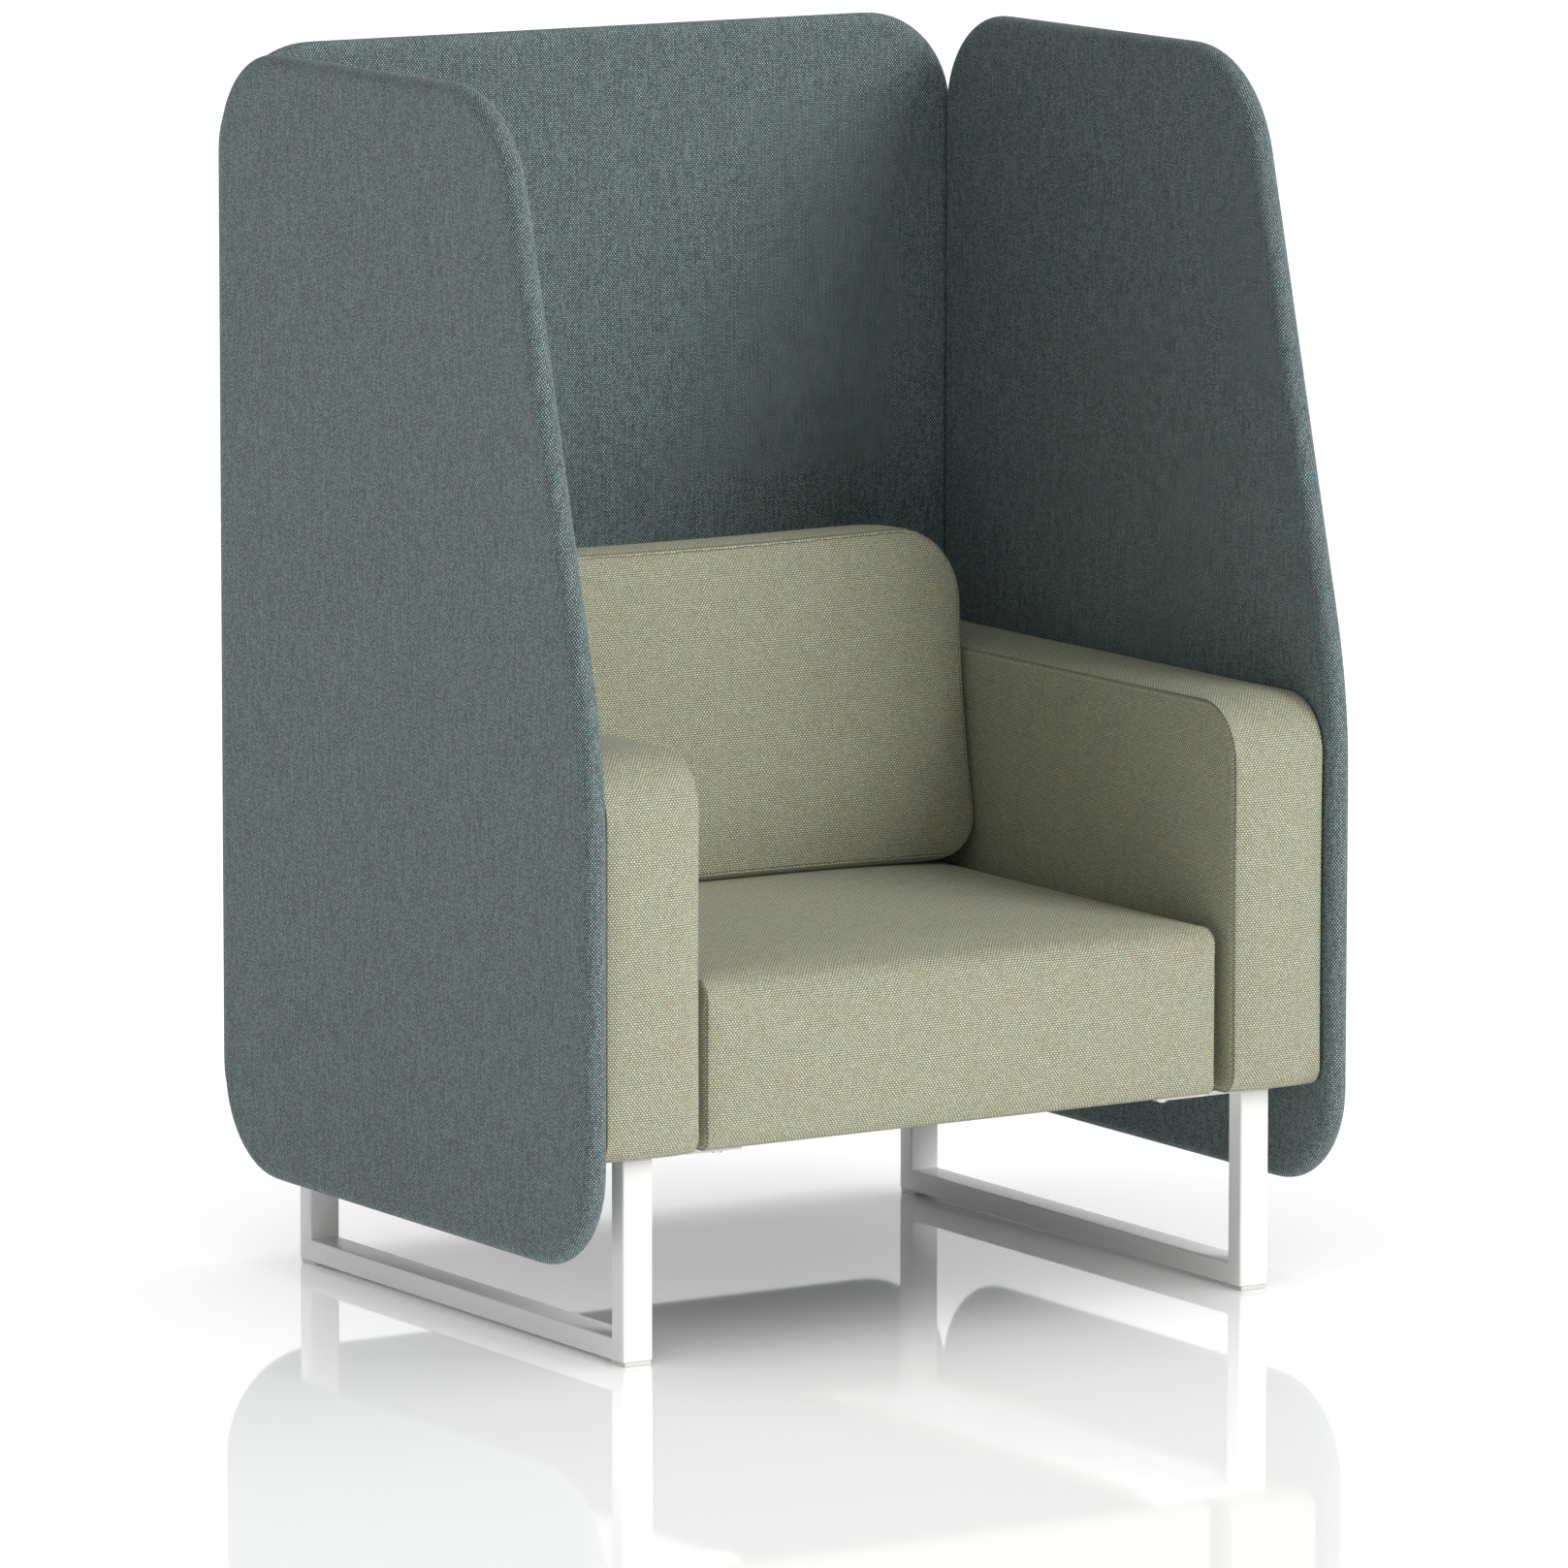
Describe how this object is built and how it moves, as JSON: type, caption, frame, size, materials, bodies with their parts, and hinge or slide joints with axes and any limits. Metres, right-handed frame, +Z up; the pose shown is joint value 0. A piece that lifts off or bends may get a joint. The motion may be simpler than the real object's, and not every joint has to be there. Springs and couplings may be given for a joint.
{
  "type": "acoustic high back lounge chair",
  "caption": "Upholstered lounge chair with square arms and a leaning back cushion, enclosed by tall padded acoustic screens on three sides, on white sled legs.",
  "frame": {"origin": "on the floor under the middle of the chair's overall box", "axes": "+X to the right as seen from the front, +Y to the back screen, +Z up from the floor"},
  "size_m": [1, 0.8324, 1.386],
  "materials": {
    "screen_fabric": "blue-grey hopsack weave",
    "seat_fabric": "olive and cream flecked weave",
    "white_steel": "white powder coat",
    "glide_plastic": "light grey moulded",
    "plywood": "raw birch plywood",
    "softwood": "planed softwood",
    "foam": "open-cell foam",
    "zinc_steel": "zinc plated",
    "dust_cloth": "black non-woven cloth"
  },
  "bodies": {
    "root": {"back_cushion_cover": "seat_fabric", "back_cushion_foam": "foam", "back_screen_bolt_1": "zinc_steel", "back_screen_bolt_2": "zinc_steel", "back_screen_core": "plywood", "back_screen_cover": "screen_fabric", "back_unit_base_rail": "softwood", "back_unit_cover": "seat_fabric", "back_unit_lean_board": "plywood", "back_unit_rear_board": "plywood", "left_arm_base_rail": "softwood", "left_arm_cover": "seat_fabric", "left_arm_inner_board": "plywood", "left_arm_outer_board": "plywood", "left_arm_top_rail": "softwood", "left_floor_rail": "white_steel", "left_front_glide": "glide_plastic", "left_front_post": "white_steel", "left_mounting_plate": "white_steel", "left_plate_bolt_arm_front": "zinc_steel", "left_plate_bolt_arm_rear": "zinc_steel", "left_plate_bolt_back": "zinc_steel", "left_plate_bolt_seat_front": "zinc_steel", "left_plate_bolt_seat_rear": "zinc_steel", "left_rear_glide": "glide_plastic", "left_rear_post": "white_steel", "left_screen_bolt_1": "zinc_steel", "left_screen_bolt_2": "zinc_steel", "left_screen_core": "plywood", "left_screen_cover": "screen_fabric", "right_arm_base_rail": "softwood", "right_arm_cover": "seat_fabric", "right_arm_inner_board": "plywood", "right_arm_outer_board": "plywood", "right_arm_top_rail": "softwood", "right_floor_rail": "white_steel", "right_front_glide": "glide_plastic", "right_front_post": "white_steel", "right_mounting_plate": "white_steel", "right_plate_bolt_arm_front": "zinc_steel", "right_plate_bolt_arm_rear": "zinc_steel", "right_plate_bolt_back": "zinc_steel", "right_plate_bolt_seat_front": "zinc_steel", "right_plate_bolt_seat_rear": "zinc_steel", "right_rear_glide": "glide_plastic", "right_rear_post": "white_steel", "right_screen_bolt_1": "zinc_steel", "right_screen_bolt_2": "zinc_steel", "right_screen_core": "plywood", "right_screen_cover": "screen_fabric", "seat_cover": "seat_fabric", "seat_deck_board": "plywood", "seat_dust_cover": "dust_cloth", "seat_foam": "foam", "seat_front_rail": "softwood", "seat_left_rail": "softwood", "seat_rear_rail": "softwood", "seat_right_rail": "softwood"}
  },
  "joints": []
}
